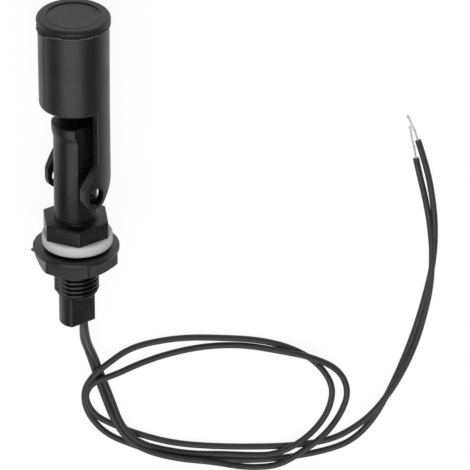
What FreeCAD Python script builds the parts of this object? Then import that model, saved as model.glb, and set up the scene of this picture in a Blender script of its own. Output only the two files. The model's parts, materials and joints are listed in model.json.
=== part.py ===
import FreeCAD, Part
import math
import os

# Side-mount float switch: a moulded body with a threaded shank goes through a tank wall, and a hollow
# float on a C-shaped arm hangs on two pins of the body's stem.  A magnet in the float works a reed
# switch sealed in the stem.  The switch lies on a flat surface, with its two leads coiled beside it.
#
# The rigid pieces are drawn upright about the switch's own axis, in millimetres: Z is 0 at the
# underside of the hexagon and runs up to the cap, X is the hinge axis, and the float opens toward +Y.
# laid() then puts them down as the switch lies: along Y with the tail toward +Y, on the rims of the
# nut's flange and of the float's cap.

# Body: hexagon, stem and hinge pins
hex_flats = 16.5            # across flats
hex_height = 4.6
hex_turn = -2.0             # degrees from the hinge axis to the normal of the first flat
hex_corner = 0.6            # rounding of the upright corners
hex_edge = 0.4              # rounding of the upper edge
foot_r = 6.1                # low round step where the stem meets the hexagon
foot_height = 0.5
stem_r = 5.75
stem_height = 29.0          # above the hexagon
stem_half = 5.0             # from the axis to each of the stem's flats
collar_r = 6.25             # thicker head of the stem, which guides the float
collar_height = 2.3
collar_taper = 2.4
stem_edge = 0.5
pin_r = 1.05
pin_rise = 8.35             # pin's axis above the hexagon
pin_grip = 0.7              # how far each pin reaches into the arm's eye
pin_chamfer = 0.25

# Body: threaded shank and tail
thread_r = 5.95             # M12
shank_length = 17.1
shank_half = 5.2            # from the axis to the flats along the mould's parting line
lead_in = 1.4               # length of the cone from the thread down to the tail
tail_r = 4.76
tail_half = 2.9             # from the axis to the tail's flats
tail_length = 8.45
tail_edge = 0.5

# Body: bore for the reed switch
bore_r = 3.4
bore_roof = 2.2             # plastic left above the bore
cavity_half_width = 2.1     # obround cavity of the tail, narrow way
cavity_half_length = 3.6    # and long way
cavity_overlap = 1.0        # the tail's cavity reaches this far into the round bore

# Seal and nut
gasket_r = 9.37
gasket_thickness = 3.3
gasket_edge = 0.6
gasket_play = 0.35          # radial, on the thread
gasket_shift = 0.3          # the gasket hangs off the axis by this much
nut_gap = 0.7               # between gasket and nut, as the nut stands now
nut_flats = 20.0
nut_thickness = 5.1         # with the flange
nut_turn = 8.1              # degrees, as the nut was left
nut_corner = 1.6
flange_r = 11.5
flange_thickness = 1.0
nut_foot_r = 9.9            # the nut's underside is chamfered to this circle
nut_chamfer = 0.8
thread_clearance = 0.08     # radial, nut on thread

# Float and its arm
arm_clearance = 0.75        # collar to each cheek of the arm
arm_wall = 2.38             # cheek at the hinge
channel_shift = 0.8         # the arm's channel is rounded about an axis this far toward +Y
arm_front = 0.7             # the cheeks' front edges stand this far behind the hinge
eye_outer_r = 3.8
eye_hole_r = 2.4
eye_shoulder_r = 2.0        # rounding where the throat meets the eye
hinge_play = 0.1            # gap under the pin while the float is pushed up against it
throat_rise = 8.8           # from the eye's centre up to the throat's corner
throat_angle = 36.5         # throat's slope, off the axis
throat_r = 3.0
heel_angle = 42.0           # rear edge of the eye, off the axis
arm_edge = 0.5              # rounding of the arm's outer edges
floor_gap = 4.85            # from the stem's top to the float's floor
float_height = 24.95        # from the floor's underside to the weld
float_draft = 0.41          # degrees; the float widens toward its cap
float_wall = 1.3
floor_thickness = 1.5
float_edge = 1.0
cap_overhang = 0.38         # the cap's rim stands out past the float
cap_flare = 0.3             # height of the cone under the rim
cap_rim_height = 1.2
cap_edge = 1.05
cap_disc_r = 7.2            # shallow recess in the cap's top
cap_disc_depth = 0.25
cap_spigot = 3.0
cap_spigot_wall = 1.2
cap_fit = 0.05
magnet_r = 3.0
magnet_height = 4.0
magnet_fit = 0.05
pocket_wall = 0.9
pocket_height = 2.6

# Reed switch, its joints and the potting
glass_r = 1.25
glass_length = 14.0
glass_wall = 0.35
glass_round = 0.75          # rounding of the tube's sealed ends
glass_wall_gap = 0.15       # glass to the bore's wall
glass_top_gap = 4.0         # glass to the bore's roof, room for the returning lead
reed_lead_r = 0.3
reed_width = 1.1
reed_thickness = 0.2
reed_gap = 0.15             # between the two contact blades
reed_lap = 2.0
reed_turn = 2.0             # the returning lead turns back this far above the glass
reed_straight = 3.0         # each contact's lead is straight for this far at the glass and at its joint
joint_rise = 2.0            # lower end of the solder joints above the hexagon's underside
joint_length = 3.0
joint_r = 0.78
sleeve_wall = 0.15
sleeve_fit = 0.05
sleeve_below = 2.5          # how far each sleeve reaches below its joint
sleeve_above = 2.5          # and above it
sleeve_clear = 1.0          # the leads run straight for this far below their sleeves
lead_spread = 1.45          # half the distance between the leads beside the joints
lead_back = 0.9             # the leads' offset toward +Y beside the joints
potting_depth = 20.0        # resin from the tail's end up the bore

# Leads
wire_r = 0.75
strand_r = 0.45
strand_tip_r = 0.6          # solder bead on the tinned end
strand_bead = 1.2           # length of the bead
exit_a = (0.8, 1.9)         # where each lead leaves the tail's end
exit_b = (-0.8, 2.4)
exit_straight = 4.0         # each lead is straight for this far on both sides of the tail's end
strand_length_a = 7.9
strand_length_b = 10.0

# Routes of the leads on the table: x, then distance behind the tail's end, then height.  Where one
# lead crosses another it rises in a low hump with two points on top, one on each side of the crossing.
route_a = [
    (-3.8, 10.5, 7.0), (-5.5, 16.5, 0.75), (-6.5, 23.0, 0.75), (-9.0, 31.0, 0.75),
    (-11.5, 38.0, 3.75), (-15.8, 43.7, 3.75), (-22.0, 46.8, 0.75), (-30.0, 48.2, 0.75),
    (-38.0, 48.4, 0.75), (-46.0, 49.0, 0.75), (-52.0, 47.8, 3.75), (-58.0, 44.5, 3.75),
    (-63.0, 40.5, 0.75), (-66.5, 34.5, 0.75), (-67.5, 27.5, 0.75), (-63.0, 20.5, 0.75),
    (-56.5, 16.0, 0.75), (-48.0, 13.5, 0.75), (-38.0, 12.8, 0.75), (-28.0, 12.5, 0.75),
    (-19.0, 13.8, 0.75), (-13.0, 16.0, 0.75), (-8.0, 19.0, 3.75), (-3.5, 23.0, 3.75),
    (-1.2, 29.0, 0.75), (-2.0, 36.0, 0.75), (-7.0, 42.5, 0.75), (-14.5, 46.2, 0.75),
    (-23.0, 49.5, 0.75), (-33.0, 50.5, 0.75), (-44.5, 51.0, 0.75), (-55.5, 49.7, 0.75),
    (-65.5, 47.7, 0.75), (-72.5, 44.8, 0.75), (-78.0, 38.5, 0.75), (-82.0, 30.5, 0.75),
    (-85.5, 21.5, 0.75), (-89.3, 11.0, 0.75), (-92.3, 0.5, 0.75), (-94.7, -10.5, 0.75),
    (-95.2, -21.5, 0.75), (-94.3, -31.5, 0.75), (-92.9, -39.5, 0.75), (-90.9, -46.9, 0.75),
]
route_b = [
    (-2.2, 10.0, 5.0), (-3.0, 16.0, 0.75), (-4.5, 23.0, 0.75), (-6.7, 31.0, 0.75),
    (-8.7, 36.5, 3.75), (-11.8, 42.2, 3.75), (-17.0, 47.0, 3.4), (-26.0, 49.8, 3.2),
    (-36.0, 51.0, 3.75), (-42.5, 53.8, 0.75), (-48.0, 54.0, 0.75), (-53.5, 52.0, 3.75),
    (-60.0, 47.5, 3.75), (-65.5, 43.0, 3.75), (-69.5, 37.0, 0.75), (-71.5, 29.5, 0.75),
    (-69.0, 23.0, 0.75), (-62.5, 18.3, 3.75), (-54.0, 16.2, 3.75), (-44.0, 15.0, 0.75),
    (-33.5, 15.2, 0.75), (-23.5, 17.5, 0.75), (-16.0, 20.5, 0.75), (-10.5, 23.0, 3.75),
    (-5.0, 26.0, 3.75), (-3.5, 31.0, 0.75), (-5.5, 35.5, 0.75), (-10.0, 38.5, 0.75),
    (-17.0, 42.5, 0.75), (-25.5, 45.0, 0.75), (-35.5, 46.0, 0.75), (-46.5, 46.3, 0.75),
    (-57.5, 46.0, 0.75), (-67.5, 44.5, 0.75), (-74.0, 40.5, 0.75), (-79.0, 35.0, 3.75),
    (-83.7, 27.5, 3.75), (-87.5, 20.0, 2.5), (-90.8, 13.0, 0.75), (-93.6, 4.0, 0.75),
    (-95.0, -3.5, 3.75), (-94.3, -13.5, 3.75), (-93.0, -21.5, 0.75), (-92.0, -29.5, 0.75),
    (-91.0, -35.5, 0.75), (-90.0, -41.4, 0.75),
]

# How the switch lies: the hinge axis leans this far up from the table on the -X side
hinge_lean = 52.8

# Places that follow from the sizes
stem_top = hex_height + stem_height
pin_z = hex_height + pin_rise
shank_end = -shank_length
cone_end = shank_end - lead_in
tail_end = cone_end - tail_length
bore_top = stem_top - bore_roof
channel_r = collar_r + arm_clearance
float_r = channel_r + arm_wall
pin_tip = channel_r + pin_grip
eye_z = pin_z + eye_hole_r - pin_r - hinge_play
floor_z = stem_top + floor_gap
weld_z = floor_z + float_height
weld_r = float_r + float_height * math.tan(math.radians(float_draft))
cap_rim_r = weld_r + cap_overhang
rim_z = weld_z + cap_flare
cap_top = rim_z + cap_rim_height
nut_top = -gasket_thickness - nut_gap
nut_bottom = nut_top - nut_thickness
glass_y = glass_r + glass_wall_gap - bore_r
glass_top = bore_top - glass_top_gap
glass_bottom = glass_top - glass_length
joint_top = joint_rise + joint_length
tilt = math.atan2(flange_r - cap_rim_r, rim_z - nut_top)
axis_height = flange_r * math.cos(tilt) + nut_top * math.sin(tilt)
front_y = -cap_top * math.cos(tilt) - (cap_rim_r - cap_edge) * math.sin(tilt)
back_y = -tail_end * math.cos(tilt) + (tail_r - tail_edge) * math.sin(tilt)
origin_y = -(front_y + back_y) / 2


def vec(x, y, z):
    return FreeCAD.Vector(x, y, z)


def rod(radius, z0, z1, x=0.0, y=0.0):
    """Upright cylinder between two heights."""
    return Part.makeCylinder(radius, z1 - z0, vec(x, y, z0))


def pipe(outer, inner, z0, z1):
    return rod(outer, z0, z1).cut(rod(inner, z0, z1))


def turned(profile):
    """Solid of revolution about the axis from (radius, height) corners."""
    corners = [vec(r, 0, z) for r, z in profile]
    face = Part.Face(Part.makePolygon(corners + corners[:1]))
    return face.revolve(vec(0, 0, 0), vec(0, 0, 1), 360)


def slab_x(half, z0, z1, reach=50.0):
    """Everything between -half and +half in X."""
    return Part.makeBox(2 * half, 2 * reach, z1 - z0, vec(-half, -reach, z0))


def slab_y(half, z0, z1, reach=50.0):
    """Everything between -half and +half in Y."""
    return Part.makeBox(2 * reach, 2 * half, z1 - z0, vec(-reach, -half, z0))


def hexagon(flats, z0, z1, corner, turn=0.0):
    """Hexagonal prism with rounded upright corners; its first flat faces +X, turned by turn."""
    radius = flats / math.sqrt(3)
    corners = []
    for i in range(6):
        angle = math.radians(30 + 60 * i + turn)
        corners.append(vec(radius * math.cos(angle), radius * math.sin(angle), z0))
    prism = Part.Face(Part.makePolygon(corners + corners[:1])).extrude(vec(0, 0, z1 - z0))
    upright = [e for e in prism.Edges if abs(e.Vertexes[0].Z - e.Vertexes[1].Z) > (z1 - z0) / 2]
    return prism.makeFillet(corner, upright)


def edges_in_plane(shape, z):
    """Edges that lie wholly at one height."""
    flat = []
    for edge in shape.Edges:
        box = edge.BoundBox
        if abs(box.ZMin - z) < 1e-4 and abs(box.ZMax - z) < 1e-4:
            flat.append(edge)
    return flat


def circles(shape, radius, z):
    """Circular edges of one radius at one height."""
    return [e for e in edges_in_plane(shape, z)
            if isinstance(e.Curve, Part.Circle) and abs(e.Curve.Radius - radius) < 1e-4]


def edges_across(shape, y, z):
    """Edges that run along X through one point of the YZ plane."""
    return [e for e in shape.Edges
            if all(abs(v.Y - y) < 1e-4 and abs(v.Z - z) < 1e-4 for v in e.Vertexes)]


def path_along(points):
    """Wire of straight runs joined by tangent arcs, each as large as its two runs allow."""
    edges = []
    radii = []
    start = points[0]
    for before, corner, after in zip(points, points[1:], points[2:]):
        back = before - corner
        ahead = after - corner
        half_turn = (math.pi - back.getAngle(ahead)) / 2
        trim = 0.45 * min(back.Length, ahead.Length)
        radius = trim / math.tan(half_turn)
        into = corner + back.normalize() * trim
        out = corner + ahead.normalize() * trim
        inward = (back + ahead).normalize()
        middle = corner + inward * (radius / math.cos(half_turn) - radius)
        edges.append(Part.LineSegment(start, into).toShape())
        edges.append(Part.Arc(into, middle, out).toShape())
        radii.append(radius)
        start = out
    edges.append(Part.LineSegment(start, points[-1]).toShape())
    return Part.Wire(edges), radii


def tube_along(points, radius):
    """Round tube along a path, with the path's length and its arcs' radii."""
    path, radii = path_along(points)
    ring = Part.Wire(Part.makeCircle(radius, points[0], points[1] - points[0]))
    return path.makePipeShell([ring], True, False), path.Length, radii


def laying():
    """The turn and shift that lay the upright switch down on the table."""
    roll = FreeCAD.Rotation(vec(0, 0, 1), -hinge_lean)
    lie = FreeCAD.Rotation(vec(0, 1, -1), 180)
    settle = FreeCAD.Rotation(vec(1, 0, 0), math.degrees(tilt))
    turn = settle.multiply(lie).multiply(roll)
    return FreeCAD.Placement(vec(0, origin_y, axis_height), turn)


def laid(shape):
    """A copy of an upright piece, as it lies on the table."""
    copy = shape.copy()
    copy.Placement = laying().multiply(shape.Placement)
    return copy


def bore():
    """The hollow for the reed switch: a blind round bore and the tail's obround cavity."""
    half = cavity_half_length - cavity_half_width
    top = cone_end + cavity_overlap
    cavity = Part.makeBox(2 * cavity_half_width, 2 * half, top - tail_end,
                          vec(-cavity_half_width, -half, tail_end))
    cavity = cavity.fuse(rod(cavity_half_width, tail_end, top, 0, half))
    cavity = cavity.fuse(rod(cavity_half_width, tail_end, top, 0, -half))
    return cavity.fuse(rod(bore_r, cone_end, bore_top)).removeSplitter()


def switch_body():
    """Hexagon, stem with collar and hinge pins, threaded shank and tail, moulded in one."""
    head = hexagon(hex_flats, 0, hex_height, hex_corner, hex_turn)
    head = head.makeFillet(hex_edge, edges_in_plane(head, hex_height))
    collar_z = stem_top - collar_height
    stem = turned([
        (0, 0), (foot_r, 0), (foot_r, hex_height + foot_height),
        (stem_r, hex_height + foot_height), (stem_r, collar_z - collar_taper),
        (collar_r, collar_z), (collar_r, stem_top), (0, stem_top),
    ])
    sides = slab_x(stem_half, hex_height, stem_top).fuse(rod(foot_r, 0, hex_height + foot_height))
    stem = stem.common(sides)
    stem = stem.makeFillet(stem_edge, edges_in_plane(stem, stem_top))
    pin = Part.makeCylinder(pin_r, 2 * pin_tip, vec(-pin_tip, 0, pin_z), vec(1, 0, 0))
    pin = pin.makeChamfer(pin_chamfer, [e for e in pin.Edges if abs(e.BoundBox.XLength) < 1e-4])
    shank = turned([
        (0, 0), (thread_r, 0), (thread_r, shank_end), (tail_r, cone_end), (0, cone_end),
    ]).common(slab_y(shank_half, cone_end, 0))
    tail = rod(tail_r, tail_end, cone_end).common(slab_x(tail_half, tail_end, cone_end))
    tail = tail.makeFillet(tail_edge, edges_in_plane(tail, tail_end))
    body = head.multiFuse([stem, pin, shank, tail]).removeSplitter()
    return body.cut(bore())


def gasket():
    seal = rod(gasket_r, -gasket_thickness, 0)
    seal = seal.makeFillet(gasket_edge, circles(seal, gasket_r, 0)
                           + circles(seal, gasket_r, -gasket_thickness))
    seal = seal.cut(rod(thread_r + gasket_play, -gasket_thickness, 0))
    # it hangs toward -X of the table
    lean = math.radians(hinge_lean)
    seal.translate(vec(math.cos(lean), math.sin(lean), 0) * gasket_shift)
    return seal


def lock_nut():
    flange_z = nut_top - flange_thickness
    hexagonal = hexagon(nut_flats, nut_bottom, nut_top, nut_corner, nut_turn)
    slope = nut_flats / math.sqrt(3)
    trimmed = turned([
        (0, nut_bottom), (nut_foot_r, nut_bottom), (slope, nut_bottom + nut_chamfer),
        (slope, nut_top), (0, nut_top),
    ])
    nut = hexagonal.common(trimmed).fuse(rod(flange_r, flange_z, nut_top))
    return nut.cut(rod(thread_r + thread_clearance, nut_bottom, nut_top))


def arm_side():
    """The arm's outline seen along the hinge, from the float's floor down to the eyes."""
    throat = math.radians(throat_angle)
    heel = math.radians(heel_angle)
    top = floor_z + floor_thickness
    back = float_r + arm_wall
    throat_z = eye_z + throat_rise
    shoulder_z = throat_z - (arm_front + eye_outer_r) / math.tan(throat)
    front = vec(0, -eye_outer_r, eye_z)
    heel_y = eye_outer_r * math.cos(heel)
    heel_z = eye_z - eye_outer_r * math.sin(heel)
    corners = [
        vec(0, heel_y, heel_z), vec(0, back, heel_z + (back - heel_y) / math.tan(heel)),
        vec(0, back, top), vec(0, arm_front, top), vec(0, arm_front, throat_z),
        vec(0, -eye_outer_r, shoulder_z), front,
    ]
    edges = [Part.LineSegment(a, b).toShape() for a, b in zip(corners, corners[1:])]
    edges.append(Part.Arc(front, vec(0, 0, eye_z - eye_outer_r), corners[0]).toShape())
    side = Part.Face(Part.Wire(edges))
    side.translate(vec(-back, 0, 0))
    plate = side.extrude(vec(2 * back, 0, 0))
    plate = plate.makeFillet(throat_r, edges_across(plate, arm_front, throat_z))
    return plate.makeFillet(eye_shoulder_r, edges_across(plate, -eye_outer_r, shoulder_z))


def arm():
    """C-shaped arm that carries the float, with an eye in each cheek."""
    top = floor_z + floor_thickness
    solid = rod(float_r, 0, top).common(arm_side())
    outer = [e for e in solid.Edges
             if e.BoundBox.ZMin < top - arm_edge
             and all(abs(math.hypot(v.X, v.Y) - float_r) < 1e-4 for v in e.Vertexes)]
    solid = solid.makeFillet(arm_edge, outer)
    channel = rod(channel_r, 0, top, 0, channel_shift)
    channel = channel.fuse(Part.makeBox(2 * channel_r, float_r + channel_shift, top,
                                        vec(-channel_r, -float_r, 0)))
    eyes = Part.makeCylinder(eye_hole_r, 2 * float_r, vec(-float_r, 0, eye_z), vec(1, 0, 0))
    return solid.cut(channel).cut(eyes)


def float_body():
    """Hollow float with its arm and eyes, closed above by the cap."""
    seat = floor_z + floor_thickness
    seat_r = float_r + (weld_r - float_r) * floor_thickness / float_height
    can = turned([(0, floor_z), (float_r, floor_z), (weld_r, weld_z), (0, weld_z)])
    can = can.makeFillet(float_edge, circles(can, float_r, floor_z))
    can = can.cut(turned([
        (0, seat), (seat_r - float_wall, seat), (weld_r - float_wall, weld_z), (0, weld_z),
    ]))
    inner = magnet_r + magnet_fit
    can = can.fuse(pipe(inner + pocket_wall, inner, seat, seat + pocket_height))
    return can.fuse(arm())


def magnet():
    seat = floor_z + floor_thickness
    return rod(magnet_r, seat, seat + magnet_height)


def float_cap():
    cap = turned([
        (0, weld_z), (weld_r, weld_z), (cap_rim_r, rim_z), (cap_rim_r, cap_top), (0, cap_top),
    ])
    cap = cap.makeFillet(cap_edge, circles(cap, cap_rim_r, cap_top))
    cap = cap.cut(rod(cap_disc_r, cap_top - cap_disc_depth, cap_top))
    spigot_top_r = weld_r - float_wall - cap_fit
    spigot_r = spigot_top_r - cap_spigot * math.tan(math.radians(float_draft))
    return cap.fuse(pipe(spigot_r, spigot_r - cap_spigot_wall, weld_z - cap_spigot, weld_z))


def contact(inner_z, lead_points, side):
    """One contact of the reed switch: its round lead outside the glass and its blade inside."""
    root = lead_points[0]
    lead = tube_along(lead_points, reed_lead_r)[0]
    low = min(root.z, inner_z)
    offset = side * (reed_gap + reed_thickness) / 2
    blade = Part.makeBox(reed_width, reed_thickness, abs(root.z - inner_z),
                         vec(-reed_width / 2, root.y + offset - reed_thickness / 2, low))
    return lead.fuse(blade)


def reed_blade_a():
    """Upper contact; its lead turns back down beside the glass to its solder joint."""
    inside = glass_top - glass_wall
    over = glass_top + reed_turn
    middle = (glass_top + glass_bottom) / 2
    points = [
        vec(0, glass_y, inside), vec(0, glass_y, over),
        vec(lead_spread, lead_back, over), vec(lead_spread, lead_back, joint_top),
    ]
    return contact(middle - reed_lap / 2, points, 1)


def reed_blade_b():
    """Lower contact; its lead crosses over to the other solder joint."""
    inside = glass_bottom + glass_wall
    middle = (glass_top + glass_bottom) / 2
    points = [
        vec(0, glass_y, inside), vec(0, glass_y, glass_bottom - reed_straight),
        vec(-lead_spread, lead_back, joint_top + reed_straight),
        vec(-lead_spread, lead_back, joint_top),
    ]
    return contact(middle + reed_lap / 2, points, -1)


def reed_glass(blades):
    """Sealed glass tube around the two contacts."""
    glass = rod(glass_r, glass_bottom, glass_top, 0, glass_y)
    glass = glass.makeFillet(glass_round, edges_in_plane(glass, glass_bottom)
                             + edges_in_plane(glass, glass_top))
    inner_r = glass_r - glass_wall
    hollow = rod(inner_r, glass_bottom + glass_r, glass_top - glass_r, 0, glass_y)
    return glass.cut(hollow).cut(blades[0]).cut(blades[1])


def solder_joint(side):
    """Bead that joins a contact's lead to the end of a wire."""
    middle = (joint_rise + joint_top) / 2
    bead = turned([
        (0, joint_rise), (strand_r, joint_rise), (joint_r, middle), (reed_lead_r, joint_top),
        (0, joint_top),
    ])
    bead.translate(vec(side * lead_spread, lead_back, 0))
    return bead


def sleeve(side):
    """Shrink sleeve over a solder joint."""
    inner = wire_r + sleeve_fit
    tube = pipe(max(inner, joint_r + sleeve_fit) + sleeve_wall, max(inner, joint_r + sleeve_fit),
                joint_rise - sleeve_below, joint_top + sleeve_above)
    tube.translate(vec(side * lead_spread, lead_back, 0))
    return tube


def inner_lead(side, leaves):
    """End of a lead inside the tail, from its exit up to its solder joint."""
    bottom = vec(leaves[0], leaves[1], tail_end)
    bend = vec(side * lead_spread, lead_back, joint_rise - sleeve_below - sleeve_clear)
    top = vec(side * lead_spread, lead_back, joint_rise)
    step = vec(leaves[0], leaves[1], tail_end + exit_straight)
    return tube_along([bottom, step, bend, top], wire_r)[0]


def potting(leads):
    """Resin that fills the tail round the two leads."""
    resin = bore().common(rod(tail_r, tail_end, tail_end + potting_depth))
    return resin.cut(leads[0]).cut(leads[1])


def route(leaves, points):
    """A lead's whole route on the table, from where it leaves the tail."""
    lie = laying()
    start = lie.multVec(vec(leaves[0], leaves[1], tail_end))
    straight = lie.multVec(vec(leaves[0], leaves[1], tail_end - exit_straight))
    behind = lie.multVec(vec(0, 0, tail_end)).y
    return [start, straight] + [vec(x, behind + y, z) for x, y, z in points]


def tinned_end(points, length):
    """Stripped and tinned end of a lead, ending in a small bead of solder."""
    end = turned([
        (0, 0), (strand_r, 0), (strand_r, length - strand_bead),
        (strand_tip_r, length - strand_bead / 2), (strand_r, length), (0, length),
    ])
    ahead = points[-1] - points[-2]
    end.Placement = FreeCAD.Placement(points[-1], FreeCAD.Rotation(vec(0, 0, 1), ahead))
    return end


def wires():
    """The two leads on the table with their tinned ends, and what their bends measure."""
    nodes = {}
    sets = [("a", exit_a, route_a, strand_length_a), ("b", exit_b, route_b, strand_length_b)]
    for name, leaves, points, bare in sets:
        line = route(leaves, points)
        lead, length, radii = tube_along(line, wire_r)
        nodes["wire_" + name] = lead
        nodes["strands_" + name] = tinned_end(line, bare)
        solid = math.pi * wire_r ** 2 * length
        print("wire_%s length %.1f, least bend %.2f, volume over section times length %.4f"
              % (name, length, min(radii), lead.Volume / solid))
        print("  bends:", " ".join("%.1f" % r for r in radii))
    return nodes


def pieces():
    blades = [reed_blade_a(), reed_blade_b()]
    leads = [inner_lead(1, exit_a), inner_lead(-1, exit_b)]
    upright = {
        "switch_body": switch_body(),
        "gasket": gasket(),
        "lock_nut": lock_nut(),
        "float_body": float_body(),
        "float_cap": float_cap(),
        "magnet": magnet(),
        "reed_blade_a": blades[0],
        "reed_blade_b": blades[1],
        "reed_glass": reed_glass(blades),
        "solder_joint_a": solder_joint(1),
        "solder_joint_b": solder_joint(-1),
        "sleeve_a": sleeve(1),
        "sleeve_b": sleeve(-1),
        "lead_a": leads[0],
        "lead_b": leads[1],
        "potting": potting(leads),
    }
    nodes = {name: laid(shape) for name, shape in upright.items()}
    nodes.update(wires())
    return nodes


os.makedirs("parts", exist_ok=True)
for name, shape in pieces().items():
    solids = shape.Solids
    print("%-15s solids %d  valid %s  volume %.1f" % (name, len(solids), shape.isValid(), shape.Volume))
    shape.exportStep("parts/" + name + ".step")
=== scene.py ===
import json
import math

import bmesh
import bpy
from mathutils import Matrix, Vector


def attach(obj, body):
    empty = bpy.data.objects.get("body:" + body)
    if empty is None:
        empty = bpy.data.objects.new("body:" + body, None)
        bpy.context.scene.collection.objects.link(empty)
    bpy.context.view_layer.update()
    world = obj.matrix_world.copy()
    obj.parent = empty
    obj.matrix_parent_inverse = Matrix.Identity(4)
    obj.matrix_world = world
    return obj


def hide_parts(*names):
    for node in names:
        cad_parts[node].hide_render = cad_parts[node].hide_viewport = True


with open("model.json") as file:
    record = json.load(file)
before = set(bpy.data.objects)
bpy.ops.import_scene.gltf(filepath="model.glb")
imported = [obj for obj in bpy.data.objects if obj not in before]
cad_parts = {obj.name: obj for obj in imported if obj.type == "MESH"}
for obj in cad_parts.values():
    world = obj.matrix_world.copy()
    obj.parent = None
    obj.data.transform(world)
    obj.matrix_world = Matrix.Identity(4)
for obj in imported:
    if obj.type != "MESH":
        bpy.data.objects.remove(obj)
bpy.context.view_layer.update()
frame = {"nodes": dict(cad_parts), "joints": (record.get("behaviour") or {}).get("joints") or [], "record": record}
MM = 0.001

# The switch's own frame, as it lies on the table: Z runs from the hexagon's underside to the cap,
# X is the hinge axis and the float opens toward +Y.
joints = {j["name"]: j for j in frame["joints"]}
AXIS_Z = Vector(joints["nut_travel"]["axis"]).normalized()
AXIS_X = -Vector(joints["float_hinge"]["axis"]).normalized()
AXIS_Y = AXIS_Z.cross(AXIS_X)
mounts = {m["name"]: m for m in frame["record"]["mounts"]}
ORIGIN = Vector(mounts["wall_thread"]["pos_m"])      # middle of the hexagon's underside
LAID = Matrix.Translation(ORIGIN) @ Matrix((AXIS_X, AXIS_Y, AXIS_Z)).transposed().to_4x4()


def at(x, y, z):
    """A point of the upright switch, in millimetres, as it lies in the row frame."""
    return LAID @ Vector((x * MM, y * MM, z * MM))


SIDEWAYS = Vector((0.6046, 0.7965))    # the row's -X in the upright switch's X and Y
SKYWARD = Vector((0.7966, -0.6046))    # the way up from the table


def around(r, degrees, z):
    """A point at radius r about the switch's axis, counted from its side of -X over the top."""
    turn = math.radians(degrees)
    way = SIDEWAYS * math.cos(turn) + SKYWARD * math.sin(turn)
    return at(r * way.x, r * way.y, z)


# ---------------------------------------------------------------- camera
# It looks from the cap's side with the cap at the picture's top, from far off, so that the view
# is nearly parallel.
ELEVATION = math.radians(59.67)
ROLL = 0.0085                 # radians
VIEW_WIDTH = 0.12434          # metres of the table that the picture's width takes in
CAMERA_DISTANCE = 5.5
TARGET = Vector((-0.04204, 0.02038, 0.01196))
SENSOR = 36

forward = Vector((0, math.cos(ELEVATION), -math.sin(ELEVATION)))
level = Vector((-1, 0, 0))
down = Vector((0, math.sin(ELEVATION), math.cos(ELEVATION)))
right = level * math.cos(ROLL) + down * math.sin(ROLL)
up = -(down * math.cos(ROLL) - level * math.sin(ROLL))
camera_data = bpy.data.cameras.new("camera")
camera_data.sensor_width = SENSOR
camera_data.lens = SENSOR * CAMERA_DISTANCE / VIEW_WIDTH
camera_data.clip_start = 0.01
camera_data.clip_end = 40
camera = bpy.data.objects.new("camera", camera_data)
bpy.context.scene.collection.objects.link(camera)
facing = Matrix((right, up, -forward)).transposed().to_4x4()
camera.matrix_world = Matrix.Translation(TARGET - forward * CAMERA_DISTANCE) @ facing
bpy.context.scene.camera = camera

# ---------------------------------------------------------------- leads
TAIL_Z = -26.95
TAIL_END = at(0, 0, TAIL_Z)
WIRE = 1.7                    # diameter
DOWN = 0.86                   # height of a lead that lies on the table
OVER = 2.56                   # and of one that crosses over another lead
EXIT_A = (0.8, 1.9)           # where it leaves the tail's end, x and y of the upright switch
EXIT_B = (-0.8, 2.4)
# Routes in millimetres: the row's x, distance behind the tail's end, height.
ROUTE_A = [
    (-2.8, 10.5, 6.6), (-4.3, 17.0, 1.5), (-6.2, 23.5, DOWN), (-8.8, 31.2, DOWN),
    (-11.2, 38.3, OVER), (-15.8, 43.8, OVER), (-22.0, 46.9, DOWN), (-30.0, 48.4, DOWN),
    (-38.0, 48.5, DOWN), (-46.0, 49.0, DOWN), (-52.0, 47.9, OVER), (-58.3, 44.7, OVER),
    (-63.5, 40.7, DOWN), (-67.0, 34.5, DOWN), (-67.9, 27.3, DOWN), (-63.5, 20.1, DOWN),
    (-56.5, 15.6, DOWN), (-48.0, 13.2, DOWN), (-38.0, 12.5, DOWN), (-28.0, 12.3, DOWN),
    (-19.0, 13.8, DOWN), (-13.0, 16.0, DOWN), (-7.9, 19.2, OVER), (-3.6, 23.2, OVER),
    (-1.2, 29.0, DOWN), (-2.2, 35.5, DOWN), (-7.1, 42.0, DOWN), (-14.6, 45.6, DOWN),
    (-23.0, 48.8, DOWN), (-33.0, 50.0, DOWN), (-44.5, 50.7, DOWN), (-55.5, 49.8, DOWN),
    (-65.4, 47.8, DOWN), (-72.6, 44.9, DOWN), (-78.2, 38.6, DOWN), (-82.3, 30.5, DOWN),
    (-86.0, 21.5, DOWN), (-89.6, 11.0, DOWN), (-92.4, 0.5, DOWN), (-94.7, -10.5, DOWN),
    (-95.2, -21.5, DOWN), (-94.3, -31.5, DOWN), (-92.8, -40.0, DOWN), (-90.7, -47.5, DOWN),
]
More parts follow.
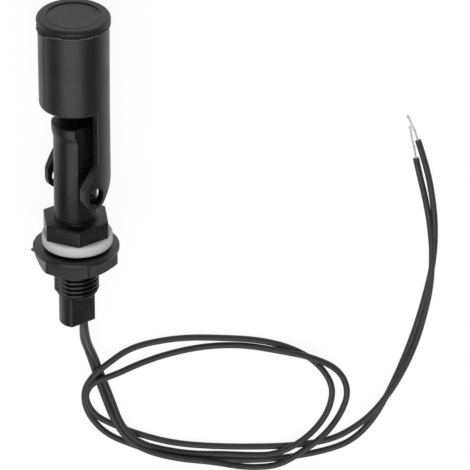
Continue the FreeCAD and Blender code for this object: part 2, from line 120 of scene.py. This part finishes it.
ROUTE_B = [
    (-1.3, 10.0, 5.0), (-2.6, 16.0, DOWN), (-4.6, 23.0, DOWN), (-7.0, 31.0, DOWN),
    (-9.2, 36.5, OVER), (-12.2, 41.9, OVER), (-17.2, 46.2, OVER), (-26.0, 48.9, OVER),
    (-36.0, 50.0, OVER), (-42.5, 52.5, DOWN), (-48.0, 52.8, DOWN), (-53.7, 51.0, OVER),
    (-59.8, 46.8, OVER), (-65.2, 42.3, OVER), (-69.7, 36.8, DOWN), (-72.1, 29.5, DOWN),
    (-69.6, 22.7, DOWN), (-62.5, 17.8, OVER), (-54.0, 15.8, OVER), (-44.0, 14.7, DOWN),
    (-33.5, 15.0, DOWN), (-23.5, 17.4, DOWN), (-16.0, 20.4, DOWN), (-9.8, 22.7, OVER),
    (-3.6, 25.0, OVER), (-1.5, 30.4, DOWN), (-4.0, 36.1, DOWN), (-9.6, 39.4, DOWN),
    (-17.0, 42.6, DOWN), (-25.5, 45.1, DOWN), (-35.5, 46.1, DOWN), (-46.5, 46.4, DOWN),
    (-57.5, 46.1, DOWN), (-67.4, 44.4, DOWN), (-74.0, 40.3, DOWN), (-78.9, 34.6, OVER),
    (-83.8, 27.4, OVER), (-87.6, 19.8, 2.2), (-90.4, 13.0, DOWN), (-92.6, 4.0, DOWN),
    (-93.8, -3.5, OVER), (-94.4, -13.5, OVER), (-93.8, -21.5, DOWN), (-92.6, -29.5, DOWN),
    (-91.3, -35.8, DOWN), (-90.1, -42.0, DOWN),
]


def link(obj):
    bpy.context.scene.collection.objects.link(obj)
    return obj


def behind_tail(x, distance, height):
    """A route's point, in millimetres, as a place in the row frame."""
    return Vector((x * MM, TAIL_END.y + distance * MM, height * MM))


def lead(name, leaves, points):
    """One lead as a smooth NURBS spline over its route's points, from its exit in the tail."""
    curve = bpy.data.curves.new(name, "CURVE")
    curve.dimensions = "3D"
    curve.bevel_depth = WIRE / 2 * MM
    curve.bevel_resolution = 5
    curve.resolution_u = 10
    curve.use_fill_caps = True
    start = at(*leaves, TAIL_Z)
    line = [start, at(*leaves, TAIL_Z - 2)] + [behind_tail(*point) for point in points]
    spline = curve.splines.new("NURBS")
    spline.points.add(len(line) - 1)
    for point, place in zip(spline.points, line):
        point.co = (*place, 1)
    spline.order_u = 3
    spline.use_endpoint_u = True
    return link(bpy.data.objects.new(name, curve)), start


# ---------------------------------------------------------------- materials
def material(name):
    mat = bpy.data.materials.new(name)
    mat.use_nodes = True
    nodes = mat.node_tree.nodes
    return mat, nodes, mat.node_tree.links, nodes["Principled BSDF"]


def noise(nodes, links, scale, detail=4.0, rough=0.55, stretch=(1, 1, 1)):
    """3-D noise over the object's own coordinates, in metres."""
    coords = nodes.new("ShaderNodeTexCoord")
    mapping = nodes.new("ShaderNodeMapping")
    mapping.inputs["Scale"].default_value = stretch
    tex = nodes.new("ShaderNodeTexNoise")
    tex.inputs["Scale"].default_value = scale
    tex.inputs["Detail"].default_value = detail
    tex.inputs["Roughness"].default_value = rough
    links.new(coords.outputs["Object"], mapping.inputs["Vector"])
    links.new(mapping.outputs["Vector"], tex.inputs["Vector"])
    return tex.outputs["Fac"]


def ramp(nodes, links, fac, low, high, a, b):
    """Maps a value's range from low to high onto the range from a to b."""
    node = nodes.new("ShaderNodeMapRange")
    node.inputs["From Min"].default_value = low
    node.inputs["From Max"].default_value = high
    node.inputs["To Min"].default_value = a
    node.inputs["To Max"].default_value = b
    links.new(fac, node.inputs["Value"])
    return node.outputs["Result"]


def mix(nodes, links, fac, a, b):
    """Blends two colours by a factor."""
    node = nodes.new("ShaderNodeMix")
    node.data_type = "RGBA"
    node.inputs["A"].default_value = (*a, 1)
    node.inputs["B"].default_value = (*b, 1)
    links.new(fac, node.inputs["Factor"])
    return node.outputs["Result"]


def bump(nodes, links, bsdf, layers, edge=0.0):
    """Stacks (height, distance) layers of bump, over edges rounded by a radius in metres."""
    normal = None
    if edge:
        rounded = nodes.new("ShaderNodeBevel")
        rounded.samples = 6
        rounded.inputs["Radius"].default_value = edge
        normal = rounded.outputs["Normal"]
    for height, distance in layers:
        node = nodes.new("ShaderNodeBump")
        node.inputs["Distance"].default_value = distance
        links.new(height, node.inputs["Height"])
        if normal:
            links.new(normal, node.inputs["Normal"])
        normal = node.outputs["Normal"]
    links.new(normal, bsdf.inputs["Normal"])


SCUFF = (0.035, 0.035, 0.035)


def moulded(name, dark, light, rough_low, rough_high, scratch=0.000006, edge=0.0, scuffs=0.66):
    """Black moulded plastic: cloudy gloss, fine grain, drawn scratches and pale scuffs."""
    mat, nodes, links, bsdf = material(name)
    cloud = noise(nodes, links, 160, 5)
    grain = noise(nodes, links, 5200, 2)
    lines = noise(nodes, links, 900, 3, 0.6, (6, 0.35, 6))
    marks = noise(nodes, links, 1500, 6, 0.75, (1, 0.6, 1.4))
    skin = mix(nodes, links, ramp(nodes, links, cloud, 0.35, 0.65, 0, 1), dark, light)
    scuffed = mix(nodes, links, ramp(nodes, links, marks, scuffs, scuffs + 0.06, 0, 1), dark, SCUFF)
    links.new(skin, scuffed.node.inputs["A"])
    links.new(scuffed, bsdf.inputs["Base Color"])
    links.new(ramp(nodes, links, cloud, 0.3, 0.7, rough_low, rough_high),
              bsdf.inputs["Roughness"])
    bump(nodes, links, bsdf, [(grain, 0.000012), (lines, scratch)], edge)
    return mat


def plain(name, color, rough, metallic=0.0, grain=0.00001, vary=0.15, edge=0.0):
    """One colour, a little cloudy, with a fine grain."""
    mat, nodes, links, bsdf = material(name)
    cloud = noise(nodes, links, 300, 4)
    fine = noise(nodes, links, 3000, 2)
    dark = tuple(c * (1 - vary) for c in color)
    links.new(mix(nodes, links, cloud, dark, color), bsdf.inputs["Base Color"])
    bsdf.inputs["Metallic"].default_value = metallic
    links.new(ramp(nodes, links, cloud, 0.3, 0.7, rough * 0.85, rough * 1.15),
              bsdf.inputs["Roughness"])
    bump(nodes, links, bsdf, [(fine, grain)], edge)
    return mat


def gloss(mat, level):
    mat.node_tree.nodes["Principled BSDF"].inputs["Specular IOR Level"].default_value = level


BLACK = (0.0075, 0.0075, 0.0078)
black = moulded("moulded_black", BLACK, (0.010, 0.010, 0.0103), 0.33, 0.42)
float_black = moulded("moulded_float", BLACK, (0.010, 0.010, 0.0103), 0.33, 0.42, edge=0.0002)
cap_black = moulded("moulded_cap", BLACK, (0.011, 0.011, 0.0113), 0.34, 0.46,
                    scratch=0.00001, edge=0.00018, scuffs=0.56)
body_black = moulded("moulded_body", (0.005, 0.005, 0.0052), (0.008, 0.008, 0.0082), 0.29, 0.38,
                     scratch=0.00001, scuffs=0.565)
# Darker, duller black for the weld seam: painted shade under the cap's rim.
seam_painted_shade = moulded("weld_seam_and_shade", (0.006, 0.006, 0.006), (0.009, 0.009, 0.009), 0.5, 0.65,
                     scratch=0.00002)
# Paler black for the cap's lip: a painted highlight along it.
lip_highlight = moulded("lip_painted_highlight", (0.014, 0.014, 0.0142), (0.03, 0.03, 0.0305), 0.42, 0.55)
# Pale grey for the weld bead: a painted highlight along the bead's top.
melted_bead_highlight = moulded("melted_plastic_painted_highlight", (0.06, 0.06, 0.061), (0.14, 0.14, 0.142), 0.5, 0.65)
jacket = plain("wire_jacket", (0.05, 0.05, 0.0505), 0.46, grain=0.000006)
silicone = plain("silicone", (0.88, 0.88, 0.875), 0.6, vary=0.1, edge=0.0002)
tin = plain("tinned", (0.93, 0.92, 0.9), 0.5, 0.5)

resin = plain("resin", (0.018, 0.018, 0.018), 0.3)
ferrite = plain("ferrite", (0.05, 0.05, 0.052), 0.5)
steel = plain("contact_metal", (0.5, 0.5, 0.49), 0.3, 1.0)
glass = plain("reed_glass", (0.45, 0.6, 0.5), 0.1)
gloss(body_black, 0.36)
gloss(seam_painted_shade, 0.22)
gloss(jacket, 0.4)


# ---------------------------------------------------------------- mesh tools
def apply_modifier(obj, kind, **settings):
    """Applies one modifier to the object's mesh."""
    modifier = obj.modifiers.new(kind.lower(), kind)
    for key, value in settings.items():
        setattr(modifier, key, value)
    graph = bpy.context.evaluated_depsgraph_get()
    mesh = bpy.data.meshes.new_from_object(obj.evaluated_get(graph))
    obj.modifiers.clear()
    obj.data = mesh


def closed_copy(node, name):
    """A node's shape as one closed mesh, with its flat faces whole."""
    bm = bmesh.new()
    bm.from_mesh(frame["nodes"][node].data)
    bmesh.ops.remove_doubles(bm, verts=bm.verts, dist=2e-6)
    bmesh.ops.dissolve_limit(bm, angle_limit=math.radians(0.4), verts=bm.verts, edges=bm.edges)
    mesh = bpy.data.meshes.new(name)
    bm.to_mesh(mesh)
    bm.free()
    for key in ("custom_normal", "sharp_face", "sharp_edge"):
        if key in mesh.attributes:
            mesh.attributes.remove(mesh.attributes[key])
    return link(bpy.data.objects.new(name, mesh))


def moulding(node, name, body, mat, edge, cutter=None):
    """Stands for a CAD node: its shape, less a cutter, with the small radii of moulded edges."""
    piece = closed_copy(node, name)
    apply_modifier(piece, "BEVEL", width=edge * MM, segments=2, limit_method="ANGLE",
                   angle_limit=math.radians(38), use_clamp_overlap=True)
    if cutter:
        apply_modifier(piece, "BOOLEAN", operation="DIFFERENCE", object=cutter, solver="EXACT")
        bpy.data.objects.remove(cutter)
    finish_piece(piece, body, mat)
    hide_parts(node)


def finish_piece(piece, body, mat, sharp=30):
    """Shades a piece smooth up to an angle and gives it its material and body."""
    piece.data.polygons.foreach_set("use_smooth", [True] * len(piece.data.polygons))
    piece.data.set_sharp_from_angle(angle=math.radians(sharp))
    piece.data.materials.clear()
    piece.data.materials.append(mat)
    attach(piece, body)


def loft(name, rings, loop=False):
    """A skin over rings of points, closed by its two end faces or, as a loop, by itself."""
    sides, n = len(rings[0]), len(rings)
    faces = []
    for i in range(n if loop else n - 1):
        low, high = i * sides, (i + 1) % n * sides
        for k in range(sides):
            m = (k + 1) % sides
            faces.append((low + k, low + m, high + m, high + k))
    if not loop:
        faces.append(tuple(range(sides - 1, -1, -1)))
        faces.append(tuple((n - 1) * sides + k for k in range(sides)))
    mesh = bpy.data.meshes.new(name)
    mesh.from_pydata([tuple(point) for ring in rings for point in ring], [], faces)
    mesh.update()
    return link(bpy.data.objects.new(name, mesh))


def bar(name, line, radii, sides=8, loop=False):
    """A round bar along a line of points, with its own radius in millimetres at each of them."""
    rings, side, n = [], None, len(line)
    turns = [2 * math.pi * k / sides for k in range(sides)]
    for i, point in enumerate(line):
        before = line[i - 1] if i or loop else point
        after = line[(i + 1) % n] if i < n - 1 or loop else point
        along = (after - before).normalized()
        side = along.orthogonal() if side is None else side - along * side.dot(along)
        side.normalize()
        other = along.cross(side)
        rings.append([point + (side * math.cos(turn) + other * math.sin(turn)) * (radii[i] * MM)
                      for turn in turns])
    return loft(name, rings, loop)


def joined(name, parts):
    """One object from several meshes."""
    bm = bmesh.new()
    for part in parts:
        bm.from_mesh(part.data)
        bpy.data.objects.remove(part)
    mesh = bpy.data.meshes.new(name)
    bm.to_mesh(mesh)
    bm.free()
    return link(bpy.data.objects.new(name, mesh))


def wander(value, *rates):
    """An irregular number from -1 to 1 that changes smoothly with the value."""
    return sum(math.sin(rate * value + 1.7 * k) for k, rate in enumerate(rates)) / len(rates)


# ---------------------------------------------------------------- thread and nut
# Lengths from here on are in millimetres of the upright switch.
PITCH = 1.3
THREAD_FROM, THREAD_TO = -18.6, -1.0
GROOVE = [(5.25, -0.14), (5.95, -0.42), (6.35, -0.42), (6.35, 0.42), (5.95, 0.42), (5.25, 0.14)]
STEPS_PER_TURN = 72


def thread_cutter():
    """Closed helical ridge with the groove's profile of radii and heights, right-handed."""
    rings = []
    for i in range(int((THREAD_TO - THREAD_FROM) / PITCH * STEPS_PER_TURN) + 1):
        turn = 2 * math.pi * i / STEPS_PER_TURN
        z = THREAD_FROM + PITCH * i / STEPS_PER_TURN
        rings.append([at(r * math.cos(turn), r * math.sin(turn), z + dz) for r, dz in GROOVE])
    cutter = loft("cutter", rings)
    bm = bmesh.new()
    bm.from_mesh(cutter.data)
    bmesh.ops.recalc_face_normals(bm, faces=bm.faces)
    bm.to_mesh(cutter.data)
    bm.free()
    return cutter


moulding("switch_body", "body_moulding", "body", body_black, 0.18,
         thread_cutter())
moulding("lock_nut", "nut_moulding", "nut", black, 0.26)

# ---------------------------------------------------------------- float
# The weld between float and cap: a seam of melted plastic under the cap's rim, darkened as painted shade under the
# rim, and the bead squeezed out along its lower edge, which sags on one side, made pale as a painted highlight
# along its top.
FLOAT_R = 9.38                # radius at the floor's height
FLOAT_FLOOR = 38.45
FLOAT_DRAFT = 0.0072          # growth of the radius with height
RIM_R = 9.94
RIM_Z = 63.75                 # underside of the cap's rim
CAP_TOP = 64.9
WELD_Z = 62.65                # the seam's lower edge where it doesn't sag
WELD_SAGS = ((0.95, 146, 17), (1.1, 170, 22))    # depth, and middle and spread in degrees
SEAM_STEP = 2                 # degrees


def float_skin(z):
    """Radius of the float's outside at a height."""
    return FLOAT_R + (z - FLOAT_FLOOR) * FLOAT_DRAFT


def weld_height(angle):
    """Height of the seam's lower edge, where the melt ran down at two places."""
    sag = sum(depth * math.exp(-((angle - middle) / spread) ** 2)
              for depth, middle, spread in WELD_SAGS)
    return WELD_Z - sag + 0.13 * wander(math.radians(angle), 7, 19, 31)


def weld_seam_and_shade():
    rings = []
    for angle in range(0, 360, SEAM_STEP):
        low = weld_height(angle)
        swell = 0.06 * wander(math.radians(angle), 5, 17, 37)
        profile = ((9.3, RIM_Z - 0.2), (RIM_R - 0.03, RIM_Z), (RIM_R - 0.1 + swell, RIM_Z - 0.45),
                   (float_skin(low) + 0.1 + swell / 2, low), (9.3, low - 0.1))
        rings.append([around(r, angle, z) for r, z in profile])
    return loft("weld_seam_and_shade", rings, loop=True)


def weld_bead():
    line, radii = [], []
    for angle in range(0, 360, SEAM_STEP):
        turn, z = math.radians(angle), weld_height(angle)
        line.append(around(float_skin(z) + 0.1 + 0.05 * wander(turn, 11, 23, 47), angle, z))
        radii.append(0.22 + 0.11 * wander(turn, 13, 29, 53))
    return bar("weld_bead", line, radii, loop=True)


finish_piece(weld_seam_and_shade(), "float", seam_painted_shade, sharp=60)
finish_piece(weld_bead(), "float", melted_bead_highlight)

# Mould parting line: a fine ridge down the float's side, and its twin on the far side.
for label, angle in (("near", 147.6), ("far", 327.6)):
    heights = [39.6 + 0.55 * k for k in range(39)]
    ridge = [around(float_skin(z) + 0.02, angle + 0.12 * wander(z, 0.9, 2.3), z)
             for z in heights]
    finish_piece(bar("parting_line_" + label, ridge, [0.1] * len(ridge), sides=6),
                 "float", black)

# Fine lip round the recess in the cap's top, in a paler black that paints the highlight along its edge.
lip = [around(7.4 + 0.02 * wander(math.radians(angle), 5, 13), angle, CAP_TOP - 0.03)
       for angle in range(0, 360, 4)]
finish_piece(bar("cap_lip", lip, [0.13] * len(lip), loop=True), "float", lip_highlight)

# ---------------------------------------------------------------- marks, resin and strands
# Burr that the mould left on the flange of the nut.
burr = [around(11.0, 168, -4.5), around(11.35, 173, -4.8), around(11.6, 177, -5.2),
        around(11.65, 179, -5.8)]
finish_piece(bar("flange_burr", burr, [0.3, 0.5, 0.46, 0.15]), "nut", black)

# Mark of the ejector pin on the tail's flat.
ejector = [at(2.91, 0.15 + 1.7 * math.cos(math.radians(angle)),
              -21.9 + 1.7 * math.sin(math.radians(angle))) for angle in range(0, 360, 10)]
finish_piece(bar("ejector_mark", ejector, [0.09] * len(ejector), sides=6, loop=True),
             "body", black)


def resin_mound():
    """Cast resin that stands a little proud of the tail's end and rises round the leads."""
    half_width, half_length, sides = 2.0, 3.3, 32
    turns = [-2 * math.pi * k / sides for k in range(sides)]
    rings = []
    for share, depth, shift in ((1.0, 0.0, 0.0), (0.97, -0.35, 0.05), (0.84, -0.75, 0.2),
                                (0.58, -1.0, 0.6), (0.25, -1.1, 1.0)):
        rings.append([at(half_width * share * math.cos(turn),
                         shift + half_length * share * math.sin(turn), TAIL_Z + 0.05 + depth)
                      for turn in turns])
    return loft("resin_mound", rings)


finish_piece(resin_mound(), "body", resin, sharp=50)

# Radii of the solder bead on a bundle's tip, at distances past it.
BEAD = ((-0.7, 0.17), (-0.5, 0.3), (-0.2, 0.4), (0.15, 0.42), (0.45, 0.33), (0.62, 0.15),
        (0.68, 0.03))
STRAND_STEPS = 28


def strand_bundle(name, first, middle, last, twist, bead):
    """Seven fine wires twisted together, a little splayed, with a bead of solder on the tip."""
    parts = []
    along = (last - first).normalized()
    side = along.cross(Vector((0, 0, 1))).normalized()
    other = along.cross(side)
    for wire in range(7):
        path = []
        for i in range(STRAND_STEPS + 1):
            s = i / STRAND_STEPS
            centre = first * (1 - s) ** 2 + middle * 2 * s * (1 - s) + last * s * s
            bulge = 0.5 * math.sin(math.pi * s) * wander(wire + 0.6, 2, 5)
            splay = 0.19 * (1 + bulge) if wire else 0
            turn = twist * s + wire * math.pi / 3
            path.append(centre + (side * math.cos(turn) + other * math.sin(turn)) * splay * MM)
        parts.append(bar("strand", path, [0.1] * len(path), sides=6))
    out = (last - middle).normalized()
    parts.append(bar("bead", [last + out * distance * MM for distance, r in BEAD],
                     [r * bead for distance, r in BEAD], sides=14))
    return joined(name, parts)


# Of each bundle: its line's three points as in the routes, its twist in radians and its bead.
STRANDS = {
    "a": ((-90.85, -47.0, 0.85), (-89.5, -51.6, 0.75), (-88.1, -54.5, 0.5), 8.0, 0.95),
    "b": ((-90.3, -41.5, 0.85), (-89.2, -46.8, 0.75), (-88.6, -51.3, 0.5), 9.0, 0.9),
}
for label, (first, middle, last, twist, bead) in STRANDS.items():
    bundle = strand_bundle("strand_wires_" + label, behind_tail(*first), behind_tail(*middle),
                           behind_tail(*last), twist, bead)
    finish_piece(bundle, "body", tin, sharp=60)
    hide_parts("strands_" + label)

# Nodes that stay as the CAD made them get their materials.
NODE_MATERIALS = {
    "float_body": float_black, "float_cap": cap_black, "gasket": silicone, "magnet": ferrite,
    "reed_glass": glass, "reed_blade_a": steel, "reed_blade_b": steel, "solder_joint_a": tin,
    "solder_joint_b": tin, "sleeve_a": jacket, "sleeve_b": jacket, "lead_a": jacket,
    "lead_b": jacket, "potting": resin,
}
for node_name, mat in NODE_MATERIALS.items():
    node = frame["nodes"][node_name]
    node.data.materials.clear()
    node.data.materials.append(mat)

for label, leaves, points in (("a", EXIT_A, ROUTE_A), ("b", EXIT_B, ROUTE_B)):
    cord, start = lead("lead_wire_" + label, leaves, points)
    cord.data.materials.append(jacket)
    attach(cord, "body")
    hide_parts("wire_" + label)


# ---------------------------------------------------------------- stage and light
TABLE_HALF = 3.0              # metres


def table_material():
    """Pale diffuse table, with a glow that only the camera and glossy reflections see."""
    mat = bpy.data.materials.new("table")
    mat.use_nodes = True
    nodes, links = mat.node_tree.nodes, mat.node_tree.links
    nodes.clear()
    out = nodes.new("ShaderNodeOutputMaterial")
    diffuse = nodes.new("ShaderNodeBsdfDiffuse")
    diffuse.inputs["Color"].default_value = (0.86, 0.86, 0.86, 1)
    glow = nodes.new("ShaderNodeEmission")
    glow.inputs["Strength"].default_value = 1.07
    path = nodes.new("ShaderNodeLightPath")
    seen, share, paler = (nodes.new("ShaderNodeMath") for _ in range(3))
    seen.operation, share.operation, paler.operation = "MAXIMUM", "MULTIPLY", "MULTIPLY_ADD"
    share.inputs[1].default_value = 0.75
    paler.inputs[1].default_value = 0.11      # more of it for the camera alone
    blend = nodes.new("ShaderNodeMixShader")
    for source, target in (
            (path.outputs["Is Camera Ray"], seen.inputs[0]),
            (path.outputs["Is Glossy Ray"], seen.inputs[1]),
            (seen.outputs[0], share.inputs[0]),
            (path.outputs["Is Camera Ray"], paler.inputs[0]),
            (share.outputs[0], paler.inputs[2]),
            (paler.outputs[0], blend.inputs["Fac"]),
            (diffuse.outputs[0], blend.inputs[1]),
            (glow.outputs[0], blend.inputs[2]),
            (blend.outputs[0], out.inputs["Surface"])):
        links.new(source, target)
    return mat


def stage_plane():
    mesh = bpy.data.meshes.new("table")
    corners = [(x * TABLE_HALF, y * TABLE_HALF, 0) for x, y in ((-1, -1), (1, -1), (1, 1), (-1, 1))]
    mesh.from_pydata(corners, [], [(0, 1, 2, 3)])
    table = link(bpy.data.objects.new("table", mesh))
    table.data.materials.append(table_material())


def lamp(name, place, aim, width, height, power):
    data = bpy.data.lights.new(name, "AREA")
    data.shape = "RECTANGLE"
    data.size = width
    data.size_y = height
    data.energy = power
    obj = link(bpy.data.objects.new(name, data))
    obj.location = place
    obj.rotation_euler = (Vector(aim) - Vector(place)).to_track_quat("-Z", "Y").to_euler()


# A broad window light from behind the tail, and a soft fill from above the cap.
stage_plane()
lamp("window", (0.12, 0.55, 0.85), (0, 0, 0.01), 1.2, 0.6, 4.3)
lamp("fill", (0, -0.5, 1.6), (0, 0, 0.01), 0.9, 0.9, 5.0)
world = bpy.data.worlds.new("world")
bpy.context.scene.world = world
world.use_nodes = True
background = world.node_tree.nodes["Background"]
background.inputs["Color"].default_value = (1, 1, 1, 1)
background.inputs["Strength"].default_value = 0.25

bpy.context.scene.view_settings.view_transform = "Standard"
